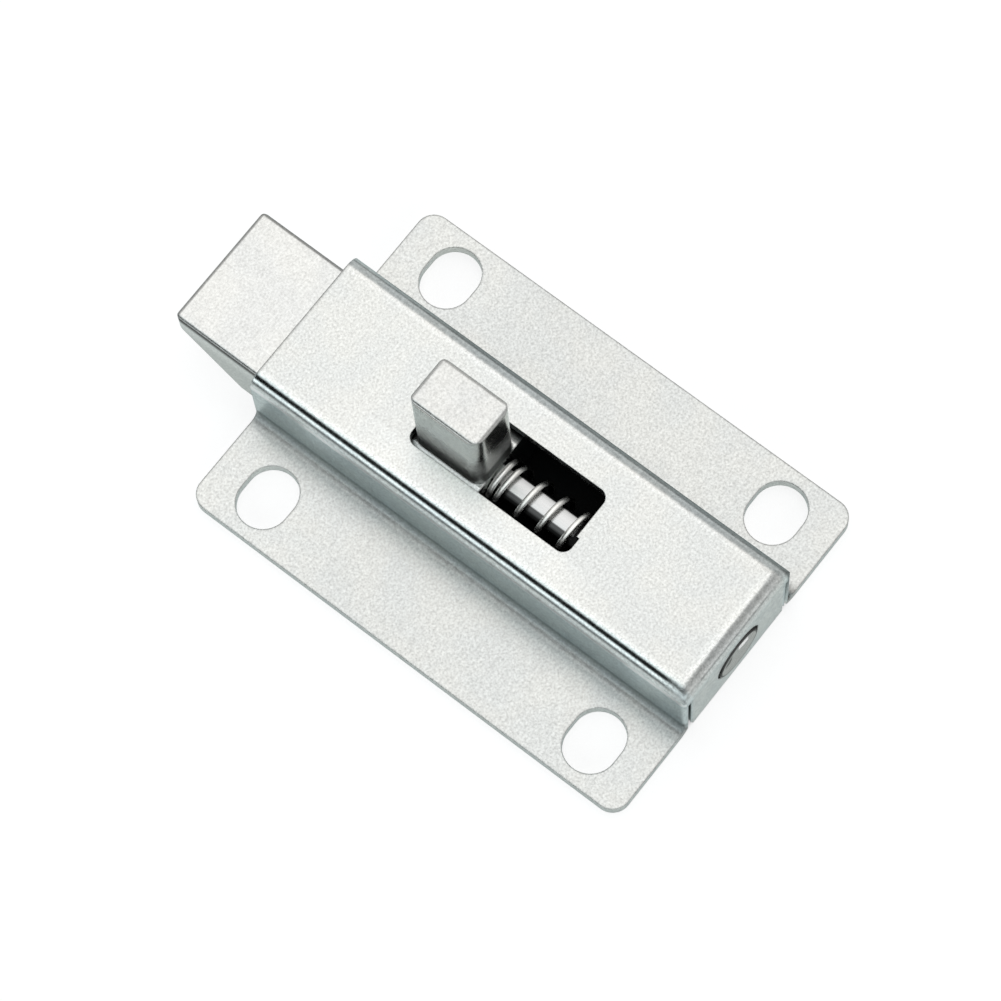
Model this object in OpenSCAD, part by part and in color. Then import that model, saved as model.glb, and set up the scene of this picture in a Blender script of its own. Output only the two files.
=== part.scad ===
// Spring bolt latch: pressed steel case, bevelled sliding bolt with its knob,
// compression spring and guide pin. Millimetres. The mounting face is Z = 0,
// the bolt shoots towards +Y, and the origin is the centre of the four screw holes.

/* [Mounting plate] */
// Length of the plate, along the bolt
plate_l = 50; // [46:0.5:60]
// Width of the plate, across the bolt
plate_w = 36.2; // [35:0.1:60]
// Thickness of the steel sheet
sheet_t = 1.2; // [0.8:0.1:1.3]
// Radius of the plate's outer corners
plate_corner_r = 1.8; // [0.5:0.1:3]

/* [Screw holes] */
// Distance between the screw holes along the bolt
hole_pitch_l = 38.2; // [30:0.1:40]
// How far the screw holes lie outside the middle of the flange's flat part
hole_shift = 0.15; // [0:0.05:0.3]
// Width of each slotted hole
hole_d = 5.2; // [3:0.1:5.6]
// Length of each slotted hole, across the bolt
hole_l = 6.4; // [5.8:0.1:7]

/* [Case] */
// Outer width of the raised channel
case_w = 15.8; // [15:0.1:17]
// Height of the case above the mounting face
case_h = 10; // [9.6:0.1:14]
// Outer radius of the top bends
bend_r = 1.5; // [1.4:0.1:2]
// Radius between the channel's sides and the flanges
root_r = 1; // [0.5:0.1:1.5]
// Radius of the upright corners at the closed end
end_corner_r = 0.5; // [0.2:0.1:0.8]
// Width of the seam between the end tab and each side
seam_w = 0.4; // [0.2:0.05:0.4]
// How far the seam leans out from the inside corner to the end face
seam_lean = 0.5; // [0.3:0.05:0.8]
// Distance from the bend down to the top of the seam
seam_drop = 0.5; // [0.2:0.1:2]
// Gap between the end tab and the mounting face
tab_gap = 0.3; // [0.1:0.1:0.8]

/* [Knob slot] */
// Distance from the open end of the case to the slot
slot_start = 14.8; // [12:0.1:16]
// Width of the slot
slot_w = 7; // [6:0.1:7.5]
// Radius of the slot's corners
slot_corner_r = 1; // [0.4:0.1:1.5]
// Depth of the small step that the punch leaves at the slot's closed end
punch_step = 0.3; // [0.1:0.05:0.5]
// Width of that step, from the side of the slot
step_w = 2.1; // [1.5:0.1:2.5]

/* [Bolt] */
// How far the bolt travels back
travel = 10; // [6:0.1:11]
// How far the bolt stands out of the case at rest
bolt_reach = 10.2; // [8:0.1:14]
// Running gap between the bolt and each side of the case
side_gap = 0.15; // [0.1:0.05:0.4]
// Running gap between the bolt and the top of the case
top_gap = 0.9; // [0.2:0.05:1]
// Running gap between the bolt and the mounting face
base_gap = 0.3; // [0.1:0.05:0.5]
// Height of the blunt tip over the bevel
tip_h = 1.9; // [1:0.1:4]
// Distance from the case to the foot of the bevel
bevel_foot = 3.1; // [0.5:0.1:5]
// Radius of the bolt's long upper edges
bolt_edge_r = 0.4; // [0.2:0.05:0.8]
// Radius of the upper edge of the tip
tip_edge_r = 0.25; // [0.1:0.05:0.6]
// Radius of the tip's two upright corners
tip_corner_r = 0.7; // [0.3:0.1:1.5]

/* [Knob] */
// Length of the knob, along the bolt
knob_l = 7.8; // [6:0.1:9]
// Width of the knob
knob_w = 5.2; // [4:0.1:5.5]
// Height of the knob above the case
knob_rise = 9; // [5:0.5:14]
// Gap between the knob and the front end of the slot at rest
rest_gap = 0.1; // [0.05:0.05:0.3]
// Gap between the knob and the rear end of the slot with the bolt right back
back_gap = 0.1; // [0.05:0.05:0.3]
// Radius of the knob's two upright corners towards the bevel
knob_front_r = 0.9; // [0.3:0.1:1.2]
// Radius of the upright corner towards the spring and low X
knob_low_x_r = 1.3; // [0.3:0.1:2]
// Radius of the upright corner towards the spring and high X
knob_high_x_r = 1; // [0.3:0.1:1.6]
// Radius round the knob's top face
knob_top_r = 0.4; // [0.1:0.05:0.6]

/* [Guide pin] */
// Distance from the top of the case down to the pin's axis
pin_drop = 5; // [4.9:0.1:5.5]
// Diameter of the pin
pin_d = 3; // [2.6:0.1:3.2]
// Diameter of the head that shows in the end tab
head_d = 5.6; // [4.5:0.1:6]
// Gap round the head
head_gap = 0.2; // [0.05:0.05:0.3]
// How far the head stands out of the end tab
head_proud = 0.12; // [0.05:0.01:0.3]
// Bevel round the face of the head
head_bevel = 0.08; // [0.05:0.01:0.2]
// How far the collar stands past the hole in the end tab all round
collar_lip = 0.5; // [0.3:0.1:0.6]
// Thickness of the collar behind the end tab
collar_t = 0.8; // [0.6:0.1:1.2]
// Running gap between the pin and its bore in the bolt
bore_gap = 0.08; // [0.05:0.01:0.1]
// How far the pin reaches into the bolt at rest
pin_reach = 5; // [3:0.5:7]
// Bevel round the pin's tip
pin_chamfer = 0.3; // [0.1:0.05:0.5]
// Spare depth of the bore when the bolt is right back
bore_spare = 1; // [0.5:0.5:3]

/* [Spring] */
// Outer diameter of the spring
spring_d = 5; // [4.8:0.1:5.4]
// Diameter of the spring wire
wire_d = 0.6; // [0.5:0.05:0.7]
// Turns of the spring that work
active_turns = 9.5; // [7:0.5:10]
// Turns that lie closed at each end
closed_turns = 0.85; // [0.5:0.05:2]
// Gap between two closed turns
closed_gap = 0.03; // [0.02:0.01:0.06]

/* [Hidden] */
$fn = 64;
eps = 0.01;

front_y = plate_l / 2;
rear_y = -plate_l / 2;

// Inside of the channel
channel_w = case_w - 2 * sheet_t;
channel_h = case_h - sheet_t;
inner_r = bend_r - sheet_t;
flare_r = root_r + sheet_t;
tab_inner_y = rear_y + sheet_t;

// Screw holes, in the middle of each flange's flat part but for their shift
hole_pitch_w = case_w / 2 + root_r + plate_w / 2 + 2 * hole_shift;

// Slot, with the knob at its front end at rest
slot_front_y = front_y - slot_start;
slot_l = knob_l + travel + rest_gap + back_gap;
slot_rear_y = slot_front_y - slot_l;

// Bolt
bolt_w = channel_w - 2 * side_gap;
bolt_top = channel_h - top_gap;
tip_y = front_y + bolt_reach;
knob_front_y = slot_front_y - rest_gap;
bolt_rear_y = knob_front_y - knob_l;
knob_top = case_h + knob_rise;

// Pin: its head lies in the end tab and its collar bears on the tab from inside
pin_h = case_h - pin_drop;
head_y = rear_y - head_proud;
collar_y = tab_inner_y + collar_t;
pin_tip_y = bolt_rear_y + pin_reach;
bore_d = pin_d + 2 * bore_gap;
bore_end_y = bolt_rear_y + pin_reach + travel + bore_spare;
head_hole_d = head_d + 2 * head_gap;

// Spring, held between the collar and the back of the bolt: its wire starts
// wire_start degrees round from the high X side, its pitch opens and closes again over opening_turns,
// and the working turns take up the rest
wire_sides = 8;
wire_start = 288;
steps_per_turn = 24;
coil_r = (spring_d - wire_d) / 2;
spring_y0 = collar_y + wire_d / 2;
spring_y1 = bolt_rear_y - wire_d / 2;
opening_turns = 0.5;
all_turns = 2 * closed_turns + active_turns + opening_turns;
closed_pitch = wire_d + closed_gap;
active_pitch = closed_pitch + (spring_y1 - spring_y0 - closed_pitch * all_turns) / active_turns;
rings = round(steps_per_turn * all_turns);

case_colour = "gainsboro";
bolt_colour = "silver";
pin_colour = "lightgrey";
spring_colour = "darkgrey";

// Extrudes an outline drawn in X and Z along Y, from y0 to y1
module along_y(y0, y1) {
    translate([0, y1, 0])
        rotate([90, 0, 0])
            linear_extrude(y1 - y0)
                children();
}

// Extrudes an outline drawn in Y and Z along X, centred, w wide
module along_x(w) {
    rotate([90, 0, 90])
        translate([0, 0, -w / 2])
            linear_extrude(w)
                children();
}

// Sliver between a square corner at (x, y) and an arc of radius r; sx and sy say where the arc lies
module corner_sliver(x, y, sx, sy, r) {
    if (r > 0)
        translate([x, y])
            mirror([sx < 0 ? 1 : 0, 0])
                mirror([0, sy < 0 ? 1 : 0])
                    difference() {
                        translate([-eps, -eps])
                            square(r + eps);
                        translate([r, r])
                            circle(r);
                    }
}

// Rectangle from (x0, y0) to (x1, y1) with radii r: low left, low right, high right, high left
module round_rect(x0, y0, x1, y1, r) {
    difference() {
        translate([x0, y0])
            square([x1 - x0, y1 - y0]);
        corner_sliver(x0, y0, 1, 1, r[0]);
        corner_sliver(x1, y0, -1, 1, r[1]);
        corner_sliver(x1, y1, -1, -1, r[2]);
        corner_sliver(x0, y1, 1, -1, r[3]);
    }
}

// Raised channel as a solid block: w wide, h high, with its closed end at y_end
module channel_block(w, h, y_end, y_open, z0, top_r, upright_r) {
    intersection() {
        along_y(y_end, y_open)
            round_rect(-w / 2, z0, w / 2, h, [0, 0, top_r, top_r]);
        along_x(w)
            round_rect(y_end, z0, y_open, h, [0, 0, 0, top_r]);
        translate([0, 0, z0])
            linear_extrude(h - z0)
                round_rect(-w / 2, y_end, w / 2, y_open, [upright_r, upright_r, 0, 0]);
    }
}

// Flat flanges with rounded corners
module plate() {
    linear_extrude(sheet_t)
        round_rect(-plate_w / 2, rear_y, plate_w / 2, front_y, [for (i = [0:3]) plate_corner_r]);
}

// One slotted screw hole, long across the bolt
module screw_hole() {
    half = (hole_l - hole_d) / 2;
    translate([0, 0, -eps])
        linear_extrude(sheet_t + 2 * eps) {
            for (s = [-1, 1])
                translate([s * half, 0])
                    circle(d = hole_d);
            translate([-half, -hole_d / 2])
                square([2 * half, hole_d]);
        }
}

// Opening that the knob slides in
module knob_slot() {
    translate([0, 0, channel_h - eps])
        linear_extrude(sheet_t + 2 * eps) {
            round_rect(-slot_w / 2, slot_rear_y, slot_w / 2, slot_front_y,
                [for (i = [0:3]) slot_corner_r]);
            round_rect(-slot_w / 2, slot_rear_y - punch_step, -slot_w / 2 + step_w,
                slot_rear_y + 2 * slot_corner_r, [slot_corner_r, 0, 0, 0]);
        }
}

// Seam between the end tab and the side that s points to, cut out through the corner
module end_seam(s) {
    seam_h = case_h - bend_r - seam_drop;
    reach = 2 * sheet_t;
    translate([s * channel_w / 2, tab_inner_y, -eps])
        rotate([0, 0, s * atan(seam_lean / sheet_t)])
            translate([-seam_w / 2, -reach, 0])
                cube([seam_w, reach + inner_r, seam_h + eps]);
}

module case() {
    color(case_colour)
        difference() {
            union() {
                plate();
                channel_block(case_w, case_h, rear_y, front_y, 0, bend_r, end_corner_r);
                along_y(rear_y, front_y)
                    for (s = [-1, 1])
                        corner_sliver(s * case_w / 2, sheet_t, s, 1, root_r);
            }
            channel_block(channel_w, channel_h, tab_inner_y, front_y + sheet_t, -sheet_t, inner_r, inner_r);
            along_y(rear_y - eps, front_y + eps)
                for (s = [-1, 1])
                    corner_sliver(s * channel_w / 2, 0, s, 1, flare_r);
            translate([-channel_w / 2, rear_y - eps, -eps])
                cube([channel_w, sheet_t + 2 * eps, tab_gap + eps]);
            for (s = [-1, 1])
                end_seam(s);
            for (x = [-1, 1], y = [-1, 1])
                translate([x * hole_pitch_w / 2, y * hole_pitch_l / 2, 0])
                    screw_hole();
            knob_slot();
            translate([0, tab_inner_y + eps, pin_h])
                rotate([90, 0, 0])
                    cylinder(d = head_hole_d, h = sheet_t + 2 * eps);
        }
}

// Side view of the bolt: flat top, blunt tip and a bevel under it
module bolt_side() {
    difference() {
        polygon([
            [bolt_rear_y, base_gap],
            [front_y + bevel_foot, base_gap],
            [tip_y, bolt_top - tip_h],
            [tip_y, bolt_top],
            [bolt_rear_y, bolt_top]
        ]);
        corner_sliver(tip_y, bolt_top, -1, -1, tip_edge_r);
    }
}

module bolt_bar() {
    intersection() {
        along_x(bolt_w)
            bolt_side();
        along_y(bolt_rear_y, tip_y)
            round_rect(-bolt_w / 2, 0, bolt_w / 2, bolt_top, [0, 0, bolt_edge_r, bolt_edge_r]);
        linear_extrude(bolt_top)
            round_rect(-bolt_w / 2, bolt_rear_y, bolt_w / 2, tip_y, [0, 0, tip_corner_r, tip_corner_r]);
    }
}

// Upright post that is cast in one with the bolt
module knob() {
    foot = bolt_top - bolt_edge_r;
    intersection() {
        translate([0, 0, foot])
            linear_extrude(knob_top - foot)
                round_rect(-knob_w / 2, bolt_rear_y, knob_w / 2, knob_front_y,
                    [knob_low_x_r, knob_high_x_r, knob_front_r, knob_front_r]);
        along_x(knob_w)
            round_rect(bolt_rear_y, 0, knob_front_y, knob_top, [0, 0, knob_top_r, knob_top_r]);
        along_y(bolt_rear_y, knob_front_y)
            round_rect(-knob_w / 2, 0, knob_w / 2, knob_top, [0, 0, knob_top_r, knob_top_r]);
    }
}

module bolt() {
    color(bolt_colour)
        difference() {
            union() {
                bolt_bar();
                knob();
            }
            translate([0, bore_end_y, pin_h])
                rotate([90, 0, 0])
                    cylinder(d = bore_d, h = bore_end_y - bolt_rear_y + eps);
        }
}

// Turned pin, drawn as its half outline: across is the radius, up is the way along Y
module guide_pin() {
    collar_r = head_hole_d / 2 + collar_lip;
    color(pin_colour)
        translate([0, 0, pin_h])
            rotate([-90, 0, 0])
                rotate_extrude()
                    polygon([
                        [0, head_y],
                        [head_d / 2 - head_bevel, head_y],
                        [head_d / 2, head_y + head_bevel],
                        [head_d / 2, tab_inner_y],
                        [collar_r, tab_inner_y],
                        [collar_r, collar_y],
                        [pin_d / 2, collar_y],
                        [pin_d / 2, pin_tip_y - pin_chamfer],
                        [pin_d / 2 - pin_chamfer, pin_tip_y],
                        [0, pin_tip_y]
                    ]);
}

// How far along the wire has come after u turns: closed, working and closed again
function opened(u) = u <= 0 ? 0 : u >= opening_turns ? u - opening_turns / 2 : u * u / (2 * opening_turns);
function lead(u) = closed_pitch * u
    + (active_pitch - closed_pitch) * (opened(u - closed_turns) - opened(u - closed_turns - active_turns));

// Point k of the ring round the wire after u turns
function wire_point(u, k) =
    let (turn = wire_start + 360 * u, side = 360 * k / wire_sides, r = coil_r + wire_d / 2 * cos(side))
    [r * cos(turn), spring_y0 + lead(u) + wire_d / 2 * sin(side), r * sin(turn)];

module spring() {
    points = [for (i = [0:rings], k = [0:wire_sides - 1]) wire_point(all_turns * i / rings, k)];
    skin = [for (i = [0:rings - 1], k = [0:wire_sides - 1])
        let (a = i * wire_sides + k, b = i * wire_sides + (k + 1) % wire_sides)
        [a, b, b + wire_sides, a + wire_sides]];
    first = [[for (k = [0:wire_sides - 1]) wire_sides - 1 - k]];
    last = [[for (k = [0:wire_sides - 1]) rings * wire_sides + k]];
    color(spring_colour)
        translate([0, 0, pin_h])
            polyhedron(points, concat(skin, first, last), convexity = 10);
}

case();
bolt();
guide_pin();
spring();
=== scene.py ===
"""Studio view of a spring bolt latch, in the part's own frame: Z = 0 is the mounting face, and the bolt
shoots towards +Y. The camera stands at low X, which is called the near side, and at low Y, the rear. The
scene is in metres. Sizes of the object are written in millimetres, and MM turns them into metres."""
import math

import bpy
from mathutils import Matrix, Vector


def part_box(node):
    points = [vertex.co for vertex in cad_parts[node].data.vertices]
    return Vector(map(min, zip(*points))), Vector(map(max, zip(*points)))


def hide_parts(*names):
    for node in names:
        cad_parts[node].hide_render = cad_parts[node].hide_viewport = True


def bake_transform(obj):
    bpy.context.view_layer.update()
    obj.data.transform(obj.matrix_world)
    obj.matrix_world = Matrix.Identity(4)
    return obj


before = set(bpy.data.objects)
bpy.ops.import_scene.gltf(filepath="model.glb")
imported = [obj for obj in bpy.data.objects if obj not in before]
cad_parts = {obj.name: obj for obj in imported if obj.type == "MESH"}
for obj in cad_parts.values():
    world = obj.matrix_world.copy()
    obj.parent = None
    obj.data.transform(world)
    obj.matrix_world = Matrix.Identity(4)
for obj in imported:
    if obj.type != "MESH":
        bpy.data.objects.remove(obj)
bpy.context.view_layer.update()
MM = 0.001

# Sizes of the object, in millimetres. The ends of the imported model's boxes come first
CASE_LOW, CASE_HIGH = (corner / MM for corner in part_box("case"))
BOLT_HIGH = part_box("bolt")[1] / MM
FRONT, REAR, TOP = CASE_HIGH.y, CASE_LOW.y, CASE_HIGH.z
TIP, KNOB_TOP = BOLT_HIGH.y, BOLT_HIGH.z

# The case: its sheet, the outer radius of its top bends, its walls and flat top as half widths, and its slot
SHEET = 1.2
BEND = 1.5
WALL = 7.9
INSIDE = WALL - SHEET
FLAT = WALL - BEND
ROOF = TOP - SHEET
TAB_INSIDE = REAR + SHEET
SLOT_SIDE, SLOT_REAR, SLOT_FRONT = 3.5, -7.8, 10.2

# The bolt, its knob, the axis that the pin and the spring share, the pin and its head
BOLT_SIDE, BOLT_TOP = BOLT_HIGH.x, 7.9
KNOB_SIDE = 2.6
AXIS_Z = 5.0
PIN_R, HEAD_R = 1.5, 2.8


# Camera, fitted to the photograph, with its place in metres

LENS = 157.16
CAMERA_PLACE = (-0.091001, -0.087313, 0.383729)
CAMERA_RIGHT = (0.61657, -0.78640, -0.03779)
CAMERA_FORWARD = (0.22383, 0.22111, -0.94921)


def make_camera():
    data = bpy.data.cameras.new("camera")
    data.lens = LENS
    data.sensor_width = 36
    data.clip_start = 0.01
    data.clip_end = 10
    cam = bpy.data.objects.new("camera", data)
    forward = Vector(CAMERA_FORWARD).normalized()
    up = Vector(CAMERA_RIGHT).cross(forward).normalized()
    right = forward.cross(up)
    turn = Matrix((right, up, -forward)).transposed().to_4x4()
    cam.matrix_world = Matrix.Translation(CAMERA_PLACE) @ turn
    bpy.context.scene.collection.objects.link(cam)
    bpy.context.scene.camera = cam


# Short ways to write shader nodes

class Tree:
    def __init__(self, tree):
        self.nodes = tree.nodes
        self.links = tree.links
        self.nodes.clear()

    def add(self, kind, **settings):
        node = self.nodes.new(kind)
        for name, value in settings.items():
            setattr(node, name, value)
        return node

    def put(self, socket, value):
        if isinstance(value, bpy.types.NodeSocket):
            self.links.new(value, socket)
        else:
            socket.default_value = value

    def math(self, operation, a, b=0.0, clamp=False):
        node = self.add("ShaderNodeMath", operation=operation, use_clamp=clamp)
        self.put(node.inputs[0], a)
        self.put(node.inputs[1], b)
        return node.outputs[0]

    def vector(self, operation, a, b=None):
        node = self.add("ShaderNodeVectorMath", operation=operation)
        self.put(node.inputs[0], a)
        if b is not None:
            self.put(node.inputs["Scale"] if operation == "SCALE" else node.inputs[1], b)
        return node.outputs["Value"] if operation in ("DOT_PRODUCT", "LENGTH") else node.outputs[0]

    def place(self):
        """Place on the object, in millimetres."""
        return self.vector("SCALE", self.add("ShaderNodeTexCoord").outputs["Object"], 1 / MM)

    def split(self, vector):
        node = self.add("ShaderNodeSeparateXYZ")
        self.put(node.inputs[0], vector)
        return node.outputs

    def noise(self, vector, scale, detail, roughness):
        node = self.add("ShaderNodeTexNoise")
        self.put(node.inputs["Vector"], vector)
        node.inputs["Scale"].default_value = scale
        node.inputs["Detail"].default_value = detail
        node.inputs["Roughness"].default_value = roughness
        return node.outputs["Fac"]

    def spread(self, value, low, high, to_low, to_high):
        node = self.add("ShaderNodeMapRange")
        for socket, number in zip(node.inputs, (value, low, high, to_low, to_high)):
            self.put(socket, number)
        return node.outputs[0]

    def mix(self, factor, a, b):
        node = self.add("ShaderNodeMix", data_type="RGBA")
        spots = [s for s in node.inputs if s.enabled]
        for socket, value in zip(spots, (factor, a, b)):
            self.put(socket, value)
        return next(s for s in node.outputs if s.enabled)

    def ramp(self, value, stops, tint):
        node = self.add("ShaderNodeValToRGB")
        elements = node.color_ramp.elements
        while len(elements) > 1:
            elements.remove(elements[-1])
        for i, (at, level) in enumerate(stops):
            spot = elements[0] if i == 0 else elements.new(at)
            spot.position = at
            spot.color = (*(level * part for part in tint), 1)
        self.put(node.inputs[0], value)
        return node.outputs[0]

    def size(self, value):
        return self.math("ABSOLUTE", value)

    def below(self, value, edge, soft=0.1):
        """One under the edge, nought over it, with a soft change between."""
        return self.spread(value, edge - soft / 2, edge + soft / 2, 1, 0)

    def above(self, value, edge, soft=0.1):
        """Nought under the edge, one over it."""
        return self.spread(value, edge - soft / 2, edge + soft / 2, 0, 1)

    def both(self, *masks):
        """Product of masks and levels. That of masks is one where all of them are one."""
        total = masks[0]
        for mask in masks[1:]:
            total = self.math("MULTIPLY", total, mask)
        return total

    def either(self, a, b):
        """One where one of the masks is one."""
        return self.math("MAXIMUM", a, b)

    def shade(self, *pairs):
        """Product of the levels of the pairs whose masks are one, and one where none is."""
        return self.both(*(self.spread(mask, 0, 1, 1, level) for mask, level in pairs))


# Painted light and shade, hue, gloss and edges from place to place. Each function takes the place in
# millimetres

COOL = (0.94, 1.0, 1.025)


def case_painted_light_and_shade(t, where):
    """Painted light and shade. Painted shade inside the channel, on the walls of the slot and along the open
    end, and darker painted shade in the root bends and on the far bend. The flanges are painted a little
    darker, above all beside the walls and to the rear, and so is the rear of the flat top. Painted light
    makes it brighter where the flat top turns into its bends, where these turn into the walls, and on the
    near side of the slot."""
    x, y, z = t.split(where)
    far_bend = t.both(t.above(x, WALL - 0.6, 0.25), t.above(z, TOP / 2, 4), t.spread(y, 13, 24, 1, 0.35))
    near_side = t.below(x, 0, 1)
    x = t.size(x)
    upper = t.above(z, TOP - 0.2)
    outside = t.above(x, WALL - 0.4)
    low = t.below(z, SHEET + 0.3, 0.2)
    inner = t.both(t.below(x, INSIDE + 0.08, 0.05), t.below(z, ROOF + 0.08, 0.05))
    slot = t.both(t.below(x, SLOT_SIDE + 0.12, 0.05), t.below(z, TOP - 0.1))
    hollow_shade = t.both(t.either(inner, slot), t.below(y, FRONT - 0.1), t.above(y, TAB_INSIDE - 0.1))
    root = t.both(outside, t.below(x, WALL + 0.7, 0.4), t.below(z, SHEET + 1.4, 0.6))
    crease = t.both(outside, t.below(x, WALL + 0.25, 0.3), t.below(z, SHEET + 1.6, 0.4),
                    t.above(z, SHEET + 0.1, 0.4))
    flange = t.both(t.above(x, WALL + 0.7, 0.8), low)
    beside = t.both(t.above(x, WALL + 0.7, 0.3), t.below(x, WALL + 2.3, 3), low)
    shoulder_highlight = t.both(t.above(x, WALL - 0.3), t.above(z, ROOF - 0.45, 0.3), t.below(z, ROOF + 0.15, 0.2))
    near_slot = t.both(near_side, t.above(x, SLOT_SIDE + 0.1), t.below(x, FLAT - 0.2, 1), upper,
                       t.above(y, SLOT_REAR - 2.2, 6), t.below(y, SLOT_FRONT + 3.8, 6))
    back = t.both(t.spread(y, -20, 5, 1, 0), upper)
    front = t.both(t.above(y, FRONT - 0.22, 0.08), upper)
    sides = t.both(t.above(x, FLAT - 0.25, 0.3), t.below(x, FLAT + 0.25, 0.2))
    rear = t.both(t.below(y, REAR + BEND + 0.3, 0.3), t.above(y, REAR + BEND - 0.25, 0.2),
                  t.below(x, FLAT + 0.25, 0.2))
    rim = t.both(t.either(sides, rear), t.above(z, TOP - 0.3))
    flange_level = t.spread(y, 8, 20, 0.905, 0.96)
    # Levels of painted shade below one and of painted light above one
    return t.shade((hollow_shade, 0.25), (root, 0.72), (flange, flange_level), (crease, 0.85), (beside, 0.95),
                   (back, 0.94), (shoulder_highlight, 1.5), (near_slot, 1.07), (front, 0.82), (far_bend, 0.37),
                   (rim, 1.1))


def case_hue(t, where):
    """The side bends and walls are a little bluer, and the bend over the end tab less so."""
    x, y, z = t.split(where)
    side = t.above(t.size(x), INSIDE, 0.3)
    rear = t.both(t.below(y, TAB_INSIDE, 0.3), t.above(z, ROOF - 0.5, 0.3), 0.4)
    return t.both(t.either(side, rear), t.above(z, SHEET + 0.2, 0.2), t.below(z, TOP - 0.01, 0.01))


def case_gloss(t, where):
    """The upper part of the outer bends was drawn smooth, and the root bends are rougher."""
    x, y, z = t.split(where)
    x = t.size(x)
    outer = t.either(t.above(x, FLAT + 0.1, 0.3), t.below(y, REAR + BEND - 0.1, 0.3))
    bends = t.both(outer, t.above(z, TOP - 0.8, 0.3))
    root = t.both(t.above(x, WALL - 0.4), t.below(x, WALL + 1.2, 0.5), t.below(z, SHEET + 1.1, 0.6))
    return t.shade((bends, 0.45), (root, 1.5))


def case_corners(t, where):
    """Radius of the soft edges, in metres: the two upper corners over the end tab are drawn round, and the
    edges of the slot are sharp."""
    x, y, z = t.split(where)
    x = t.size(x)
    corner = t.both(t.above(x, WALL - 2.5, 1), t.below(y, REAR + 2.6, 1), t.above(z, TOP - 2.6, 0.6))
    slot = t.both(t.below(x, SLOT_SIDE + 0.5, 0.2), t.above(y, SLOT_REAR - 1.2, 0.2),
                  t.below(y, SLOT_FRONT + 2.8, 0.2), t.above(z, TOP - 2, 0.2))
    return t.both(t.spread(corner, 0, 1, 0.25 * MM, 1.1 * MM), t.shade((slot, 0.4)))


def bolt_painted_light_and_shade(t, where):
    """Painted light and shade: painted shade towards the foot of the knob and in the gap on its far side.
    The bar has a darker painted outline, a painted dark line under its upper edges, a paler painted band
    below that and slightly darker lower sides. The knob is painted paler further up, and its top a little
    darker."""
    x, y, z = t.split(where)
    bar = t.below(z, BOLT_TOP + 0.2)
    foot = t.both(t.above(z, BOLT_TOP + 0.1), t.below(z, TOP, 0.8), t.above(x, -1.8, 0.6))
    upright = t.both(t.above(z, TOP + 2, 2), t.below(z, KNOB_TOP - 0.5, 0.5))
    side = t.above(t.size(x), BOLT_SIDE - 0.1, 0.05)
    line = t.both(side, t.above(z, BOLT_TOP - 0.7, 0.4), bar)
    band = t.both(side, t.above(z, BOLT_TOP - 2.1, 1.6), t.below(z, BOLT_TOP - 0.8, 0.4))
    low = t.both(side, t.below(z, BOLT_TOP - 2.4, 1.5))
    rims = t.either(t.above(t.size(x), BOLT_SIDE - 0.23, 0.05), t.above(x, BOLT_SIDE - 0.33))
    rim = t.both(t.either(rims, t.above(y, TIP - 0.34)), t.above(z, BOLT_TOP - 0.4, 0.2), bar)
    far_gap = t.both(t.above(x, KNOB_SIDE + 0.15, 0.2), t.above(z, BOLT_TOP - 0.2), bar,
                     t.below(y, SLOT_FRONT + 0.2, 0.2))
    top = t.above(z, KNOB_TOP - 0.5, 0.5)
    # Levels of painted shade below one and of painted light above one
    return t.shade((foot, 0.2), (upright, 1.15), (line, 0.35), (band, 1.06), (low, 0.84), (rim, 0.65),
                   (far_gap, 0.3), (top, 0.94))


def bolt_gloss(t, where):
    """Rough towards the foot of the knob."""
    z = t.split(where)[2]
    return t.shade((t.both(t.above(z, BOLT_TOP + 0.2), t.below(z, TOP + 3, 3)), 2.2))


def bolt_lean(t, where, normal):
    """The knob's sides have a casting draft, and the strip of the bolt on its near side slopes a little."""
    x, y, z = t.split(where)
    strip = t.both(t.below(x, -KNOB_SIDE), t.above(x, -SLOT_SIDE - 0.2, 0.2), t.above(z, BOLT_TOP - 0.2),
                   t.below(z, BOLT_TOP + 0.15, 0.05), t.below(y, SLOT_FRONT + 0.2, 0.2))
    upright = t.below(t.size(t.split(normal)[2]), 0.3)
    draft = t.both(t.above(z, BOLT_TOP + 0.2), upright)
    slope = t.vector("SCALE", (-0.25, -0.1, 0.0), strip)
    return t.vector("ADD", slope, t.vector("SCALE", (0.0, 0.0, 0.055), draft))


def bolt_wear_and_shade_edges(t, where, normal):
    """Which edges are darkened, partly as wear and partly as painted shade: the bar's edges all round, and
    the knob's towards the tip and high X.
    """
    x, y, _ = t.split(normal)
    turned = t.above(t.math("ADD", x, y), 0.0)
    return t.either(turned, t.below(t.split(where)[2], BOLT_TOP + 0.4, 0.2))


def from_axis(t, where):
    """Height over the pin's axis, and distance from it."""
    x, _, z = t.split(where)
    height = t.math("SUBTRACT", z, AXIS_Z)
    squares = t.math("ADD", t.math("MULTIPLY", x, x), t.math("MULTIPLY", height, height))
    return height, t.math("SQRT", squares)


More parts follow.
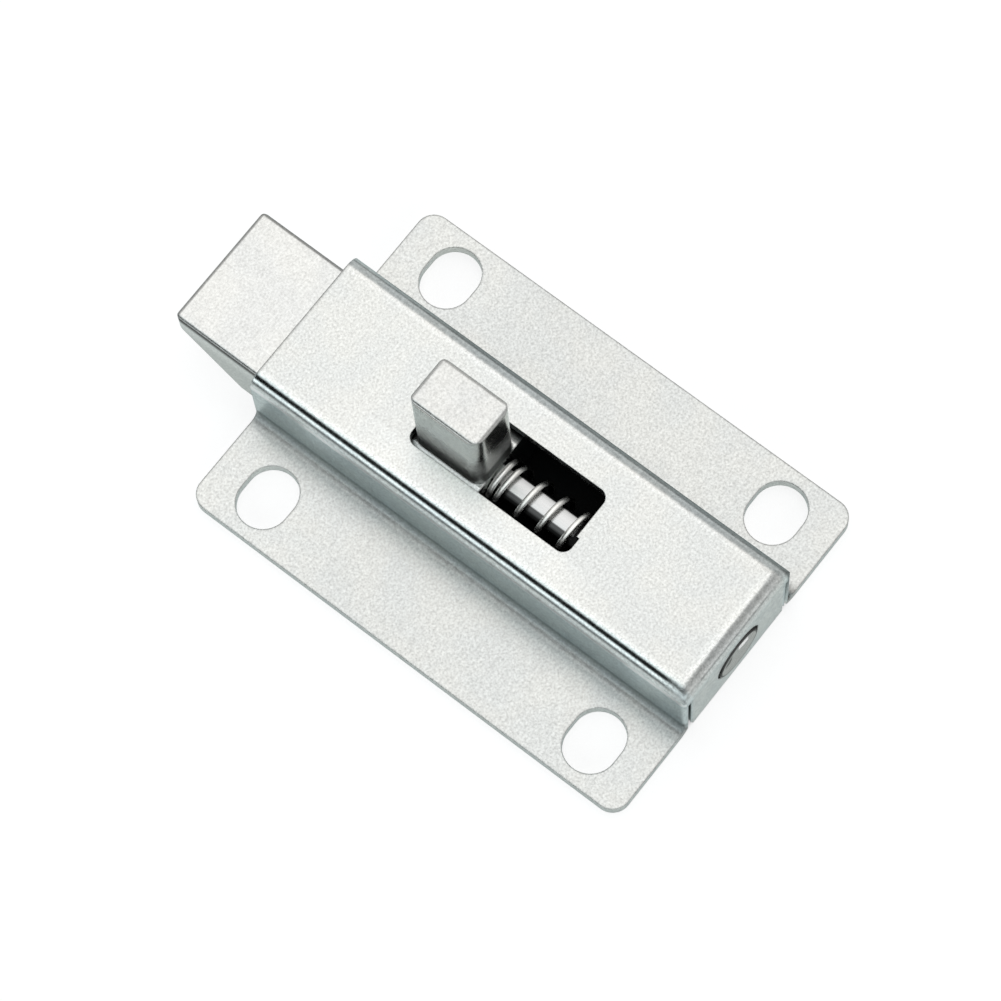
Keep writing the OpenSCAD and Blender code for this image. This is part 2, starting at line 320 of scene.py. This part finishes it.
def pin_grease_and_painted_light(t, where):
    """Painted shade down in the ring round the head and in one part of its dimple. The rod is painted nearly
    black, as painted shade. Under the slot a brown band along its middle is less dark, a grease film in
    painted shade, and its top is a painted highlight."""
    x, y, _ = t.split(where)
    height, radius = from_axis(t, where)
    head = t.below(y, REAR + 1, 0.2)
    ends = t.both(t.above(t.size(x), HEAD_R - 0.3), t.above(height, -0.4, 0.2))
    upper = t.both(t.above(radius, HEAD_R - 0.37), t.above(height, 0.3, 0.6))
    ring = t.either(t.above(radius, HEAD_R - 0.25), upper)
    groove = t.both(t.either(ring, ends), head)
    dent = t.both(t.above(radius, 1.45), t.below(radius, 2.15), head, t.above(height, 0.4, 0.2),
                  t.below(x, -1.1, 0.2))
    rod = t.both(t.below(radius, PIN_R + 0.1), t.above(y, REAR + 2, 0.2))
    shown = t.both(t.below(x, 0.95, 0.12), t.above(y, SLOT_REAR + 1.1, 0.2))
    painted_highlight = t.both(t.above(x, -0.75, 0.12), shown, t.above(height, 0, 0.2))
    grease_film_and_shade = t.both(t.above(x, -1.15, 0.2), shown)
    grease_and_painted_light = t.math("ADD", t.spread(grease_film_and_shade, 0, 1, 0.012, 0.11), t.both(painted_highlight, 0.8))
    # Painted shade in the ring and dimple, and the rod's painted shade, grease film and painted highlight
    return t.both(t.shade((groove, 0.1), (dent, 0.22)), t.mix(rod, (1, 1, 1, 1), grease_and_painted_light))


def upper_lean(t, where, normal):
    """Leans the upper side's normals up, as on a flattened top."""
    up = t.add("ShaderNodeCombineXYZ")
    t.put(up.inputs[2], t.spread(t.split(normal)[2], 0, 0.5, 0, 1))
    return up.outputs[0]


def pin_lean(t, where, normal):
    """The rod's top is nearly flat, and the upper edge of the dimple in the head catches the light."""
    x, y, _ = t.split(where)
    height, radius = from_axis(t, where)
    ring = t.both(t.above(radius, 1.2, 0.05), t.below(radius, 2.2, 0.05), t.below(y, REAR + 1, 0.2),
                  t.above(height, 1), t.above(x, -0.1), t.below(x, 1.3))
    edge = t.vector("SCALE", (-0.3, 0.0, 5.0), ring)
    return t.vector("ADD", t.vector("SCALE", upper_lean(t, where, normal), 3.0), edge)


def wire_painted_light(t, where):
    """Painted light: only the top of each coil is a painted highlight, a little lower on the near side, and
    the rest of the wire is painted shade.
    """
    x, _, z = t.split(where)
    high = t.math("SUBTRACT", z, t.math("MULTIPLY", x, 0.167))
    return t.spread(high, 6.1, 6.35, 0.1, 1.2)


# Metals

FINE_GRAIN, MIDDLE_GRAIN, CLOUDS = 4.3, 1.7, 0.21
FINE_SHARE, MIDDLE_SHARE = 0.68, 0.32
GLOSS_SWING = 0.15


def plated(name, light, dark, rough, grain, relief, edge, glancing, streak=(1, 1, 1), tone_at=None,
           gloss_at=None, hue_at=None, wear_and_shade_at=None, wear_and_shade_tone=0.8, worn_gloss=1.0, lean_at=None):
    """Plated metal: two close tints in soft clouds, a mottled grain in tone, gloss and height, and edges
    that are darker partly by wear and partly by painted shade. Its tone at a glancing angle is the glancing
    colour's share of a clean metal's. The edge is the radius of its soft edges, or a function that gives it
    from place to place. What tone_at gives is painted light and shade; it and what gloss_at gives multiply
    its tone and roughness. It is COOL where hue_at is one, the tone of its edges is darkened where
    wear_and_shade_at is one, and lean_at is added to its normals."""
    mat = bpy.data.materials.new(name)
    mat.use_nodes = True
    t = Tree(mat.node_tree)
    out = t.add("ShaderNodeOutputMaterial")
    shader = t.add("ShaderNodeBsdfPrincipled")
    t.links.new(shader.outputs[0], out.inputs[0])
    place = t.place()
    stretch = t.add("ShaderNodeMapping")
    t.put(stretch.inputs["Vector"], place)
    stretch.inputs["Scale"].default_value = streak
    streaked = stretch.outputs[0]
    fine = t.noise(streaked, FINE_GRAIN, 3, 0.65)
    middle = t.noise(streaked, MIDDLE_GRAIN, 3, 0.6)
    clouds = t.noise(streaked, CLOUDS, 2, 0.5)
    height = t.math("ADD", t.math("MULTIPLY", fine, FINE_SHARE), t.math("MULTIPLY", middle, MIDDLE_SHARE))
    tone = t.spread(height, 0.35, 0.65, 1 - grain, 1 + grain)

    soft = t.add("ShaderNodeBevel", samples=6)
    t.put(soft.inputs["Radius"], edge(t, place) if callable(edge) else edge)
    normal = soft.outputs[0]
    flat = t.add("ShaderNodeNewGeometry").outputs["True Normal"]
    turned = t.math("SUBTRACT", 1.0, t.vector("DOT_PRODUCT", normal, flat))
    wear_and_shade = t.both(t.spread(turned, 0.02, 0.2, 0, 1), t.spread(middle, 0.35, 0.55, 0.5, 1))
    shaded_wear = t.both(wear_and_shade, wear_and_shade_at(t, place, normal)) if wear_and_shade_at else wear_and_shade

    # Edges darkened partly by wear and partly by painted shade, then the painted light and shade of tone_at
    tone = t.both(tone, t.shade((shaded_wear, wear_and_shade_tone)))
    if tone_at:
        tone = t.both(tone, tone_at(t, place))
    tint = t.mix(t.spread(clouds, 0.4, 0.6, 0, 1), (*dark, 1), (*light, 1))
    if hue_at:
        tint = t.vector("MULTIPLY", tint, t.mix(hue_at(t, place), (1, 1, 1, 1), (*COOL, 1)))
    t.put(shader.inputs["Base Color"], t.vector("SCALE", tint, tone))
    shader.inputs["Metallic"].default_value = 1
    shader.inputs["Specular Tint"].default_value = (*glancing, 1)
    gloss = t.both(t.spread(middle, 0.3, 0.7, rough * (1 - GLOSS_SWING), rough * (1 + GLOSS_SWING)),
                   t.shade((wear_and_shade, worn_gloss)))
    if gloss_at:
        gloss = t.both(gloss, gloss_at(t, place))
    t.put(shader.inputs["Roughness"], gloss)

    if lean_at:
        normal = t.vector("NORMALIZE", t.vector("ADD", normal, lean_at(t, place, normal)))
    bump = t.add("ShaderNodeBump")
    bump.inputs["Strength"].default_value = 1
    bump.inputs["Distance"].default_value = relief
    t.put(bump.inputs["Height"], height)
    t.put(bump.inputs["Normal"], normal)
    t.put(shader.inputs["Normal"], bump.outputs[0])
    return mat


def sheet_metal():
    return plated("zinc_sheet", light=(0.805, 0.805, 0.773), dark=(0.776, 0.785, 0.765), rough=0.33,
                  grain=0.25, relief=0.003 * MM, edge=case_corners, glancing=(0.72, 0.785, 0.80),
                  tone_at=case_painted_light_and_shade, gloss_at=case_gloss, hue_at=case_hue, wear_and_shade_tone=0.72)


def casting_metal():
    return plated("zinc_casting", light=(0.736, 0.734, 0.707), dark=(0.704, 0.707, 0.69), rough=0.22,
                  grain=0.2, relief=0.0025 * MM, edge=0.28 * MM, glancing=(0.86, 0.91, 0.91),
                  tone_at=bolt_painted_light_and_shade, gloss_at=bolt_gloss, wear_and_shade_at=bolt_wear_and_shade_edges, wear_and_shade_tone=0.5, worn_gloss=2.0,
                  lean_at=bolt_lean)


def pin_metal():
    return plated("drawn_pin", light=(0.82, 0.81, 0.79), dark=(0.78, 0.78, 0.77), rough=0.28, grain=0.05,
                  relief=0.001 * MM, edge=0.3 * MM, glancing=(0.55, 0.57, 0.56), streak=(1, 0.05, 1),
                  tone_at=pin_grease_and_painted_light, lean_at=pin_lean)


def wire_metal():
    return plated("spring_wire", light=(0.84, 0.82, 0.78), dark=(0.76, 0.75, 0.72), rough=0.28, grain=0.06,
                  relief=0.001 * MM, edge=0.04 * MM, glancing=(0.6, 0.6, 0.6), tone_at=wire_painted_light,
                  lean_at=upper_lean)


def dress(node, mat):
    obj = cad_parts[node]
    obj.data.materials.clear()
    obj.data.materials.append(mat)


# Spring

# Millimetres, with y0 and y1 at the middle of the wire at its two ends. The stretches closed, active and
# opening are counted in turns. With a lean of one, a working turn's upper half crosses like a closed one's
SPRING = dict(axis_z=AXIS_Z, y0=-22.7, y1=2.0, coil_r=2.2, wire_r=0.3, closed=0.85, active=9.5, opening=0.5,
              closed_pitch=0.63, start=math.radians(288), lean=0.4)
WIRE_SIDES = 16
RINGS_PER_TURN = 56


def opened(s, u):
    """How many turns of full pitch the first u turns after the closed ones are worth, as the pitch opens."""
    if u <= 0:
        return 0.0
    if u >= s["opening"]:
        return u - s["opening"] / 2
    return u * u / (2 * s["opening"])


def spring_lead(s, u, pitch):
    """How far along the wire has come after u turns."""
    working = opened(s, u - s["closed"]) - opened(s, u - s["closed"] - s["active"])
    return s["closed_pitch"] * u + (pitch - s["closed_pitch"]) * working


def spring_centre(s, u, pitch):
    """Middle of the wire after u turns. Working turns lean, so their upper half crosses more squarely."""
    angle = s["start"] + 2 * math.pi * u
    x = s["coil_r"] * math.cos(angle)
    z = s["axis_z"] + s["coil_r"] * math.sin(angle)
    quarter = 0.25
    local_pitch = (spring_lead(s, u + quarter, pitch) - spring_lead(s, u - quarter, pitch)) / (2 * quarter)
    lean = s["lean"] * (local_pitch - s["closed_pitch"]) * x / (4 * s["coil_r"])
    return Vector((x, s["y0"] + spring_lead(s, u, pitch) + lean, z))


def wire_rings(s):
    """Points round the wire, ring by ring, in metres."""
    turns = 2 * s["closed"] + s["active"] + s["opening"]
    pitch = s["closed_pitch"] + (s["y1"] - s["y0"] - s["closed_pitch"] * turns) / s["active"]
    last = round(turns * RINGS_PER_TURN)
    centres = [spring_centre(s, turns * i / last, pitch) for i in range(last + 1)]
    points = []
    for i, centre in enumerate(centres):
        ahead = (centres[min(i + 1, last)] - centres[max(i - 1, 0)]).normalized()
        out = Vector((centre.x, 0, centre.z - s["axis_z"])).normalized()
        side = ahead.cross(out).normalized()
        out = side.cross(ahead)
        for k in range(WIRE_SIDES):
            angle = 2 * math.pi * k / WIRE_SIDES
            points.append((centre + (out * math.cos(angle) + side * math.sin(angle)) * s["wire_r"]) * MM)
    return points


def make_spring(mat):
    s = SPRING
    points = wire_rings(s)
    around = len(points) - WIRE_SIDES
    faces = []
    for start in range(0, around, WIRE_SIDES):
        for k in range(WIRE_SIDES):
            a, b = start + k, start + (k + 1) % WIRE_SIDES
            faces.append((a, b, b + WIRE_SIDES, a + WIRE_SIDES))
    faces.append(tuple(reversed(range(WIRE_SIDES))))
    faces.append(tuple(range(around, len(points))))
    mesh = bpy.data.meshes.new("spring_wire")
    mesh.from_pydata(points, [], faces)
    mesh.update()
    mesh.materials.append(mat)
    for face in mesh.polygons:
        face.use_smooth = face.index < around
    obj = bpy.data.objects.new("spring_wire", mesh)
    bpy.context.scene.collection.objects.link(obj)
    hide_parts("spring")
    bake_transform(obj)


# Floor, with half its side and its drop under the mounting face in metres

FLOOR_HALF = 1.5
FLOOR_DROP = 0.05 * MM
FLOOR_COLOUR, SHADE_COLOUR = (0.4, 0.4, 0.4, 1), (0.02, 0.02, 0.02, 1)
MIRRORED_TINT = (0.965, 1.0, 0.98, 1)
SEEN_GLOW = 0.78
MIRRORED_GLOW_NEAR, MIRRORED_GLOW_FAR = 0.5, 0.05


def make_floor():
    """Pale floor just under the mounting face. It glows white to the camera. In reflections its glow is
    tinted and fades with distance. Under the case it doesn't glow and is painted nearly black, a painted
    shade, where it lies in the dark."""
    corners = [(-FLOOR_HALF, -FLOOR_HALF, 0), (FLOOR_HALF, -FLOOR_HALF, 0), (FLOOR_HALF, FLOOR_HALF, 0),
               (-FLOOR_HALF, FLOOR_HALF, 0)]
    mesh = bpy.data.meshes.new("floor")
    mesh.from_pydata(corners, [], [(0, 1, 2, 3)])
    floor = bpy.data.objects.new("floor", mesh)
    floor.location.z = -FLOOR_DROP
    bpy.context.scene.collection.objects.link(floor)
    mat = bpy.data.materials.new("floor")
    mat.use_nodes = True
    t = Tree(mat.node_tree)
    out = t.add("ShaderNodeOutputMaterial")
    plain = t.add("ShaderNodeBsdfDiffuse")
    glow = t.add("ShaderNodeEmission")
    path = t.add("ShaderNodeLightPath")
    camera = path.outputs["Is Camera Ray"]
    where = t.place()
    x, y, _ = t.split(where)
    fading = t.spread(t.vector("LENGTH", where), 40, 110, MIRRORED_GLOW_NEAR, MIRRORED_GLOW_FAR)
    mirrored = t.math("ADD", path.outputs["Is Glossy Ray"], path.outputs["Is Transmission Ray"], clamp=True)
    seen = t.math("ADD", t.both(camera, SEEN_GLOW), t.both(mirrored, fading))
    under_case = t.both(t.below(t.size(x), WALL + 0.1, 2), t.below(t.size(y), FRONT - 0.5, 1))
    open_floor = t.math("SUBTRACT", 1.0, under_case)
    # Under the case the floor's colour is a painted shade
    t.put(plain.inputs["Color"], t.mix(open_floor, SHADE_COLOUR, FLOOR_COLOUR))
    t.put(glow.inputs["Color"], t.mix(camera, MIRRORED_TINT, (1, 1, 1, 1)))
    t.put(glow.inputs["Strength"], t.both(seen, open_floor))
    total = t.add("ShaderNodeAddShader")
    t.links.new(plain.outputs[0], total.inputs[0])
    t.links.new(glow.outputs[0], total.inputs[1])
    t.links.new(total.outputs[0], out.inputs[0])
    mesh.materials.append(mat)


# Light: its level by height over the horizon, in degrees, on the -X side, the +X side and the -Y side

NEAR_SIDE = ((0, 0.17), (6, 0.17), (12, 0.43), (17, 1.04), (22, 1.26), (30, 1.26), (34, 0.87), (37, 0.09),
             (40, 0.0), (60, 0.0), (63, 0.26), (67, 1.04), (72, 1.22), (90, 1.26))
FAR_SIDE = ((0, 0.43), (10, 0.59), (18, 0.59), (31, 0.52), (45, 0.56), (53, 0.74), (60, 1.13), (66, 1.3),
            (90, 1.3))
REAR_SIDE = ((0, 0.65), (8, 0.7), (18, 0.59), (28, 0.45), (50, 0.43), (58, 0.52), (64, 0.65), (68, 1.13),
             (90, 1.3))
NEAR_TINT = (0.93, 1.0, 1.02)
PLAIN_TINT = (1.0, 1.0, 1.0)
TOP_LEVEL = 1.3
WHITE = (1 / TOP_LEVEL, 1 / TOP_LEVEL, 1 / TOP_LEVEL, 1)


def make_world():
    """Soft studio round the object: a bright ceiling, and a lit panel under a dark gap on the -X side. The
    camera sees it as plain white."""
    world = bpy.data.worlds.new("studio")
    bpy.context.scene.world = world
    world.use_nodes = True
    t = Tree(world.node_tree)
    out = t.add("ShaderNodeOutputWorld")
    back = t.add("ShaderNodeBackground")
    t.links.new(back.outputs[0], out.inputs[0])
    x, y, z = t.split(t.add("ShaderNodeTexCoord").outputs["Generated"])
    height = t.math("DIVIDE", t.math("ARCSINE", z), math.pi / 2)

    def side(levels, tint):
        return t.ramp(height, [(degrees / 90, level / TOP_LEVEL) for degrees, level in levels], tint)

    level = t.mix(t.spread(y, -0.16, 0.0, 1, 0), side(FAR_SIDE, PLAIN_TINT), side(REAR_SIDE, PLAIN_TINT))
    level = t.mix(t.spread(x, -0.12, 0.12, 1, 0), level, side(NEAR_SIDE, NEAR_TINT))
    camera = t.add("ShaderNodeLightPath").outputs["Is Camera Ray"]
    t.put(back.inputs["Color"], t.mix(camera, level, WHITE))
    back.inputs["Strength"].default_value = TOP_LEVEL


make_camera()
make_floor()
make_world()
bpy.context.scene.view_settings.view_transform = "Standard"

dress("case", sheet_metal())
dress("bolt", casting_metal())
dress("guide_pin", pin_metal())
make_spring(wire_metal())
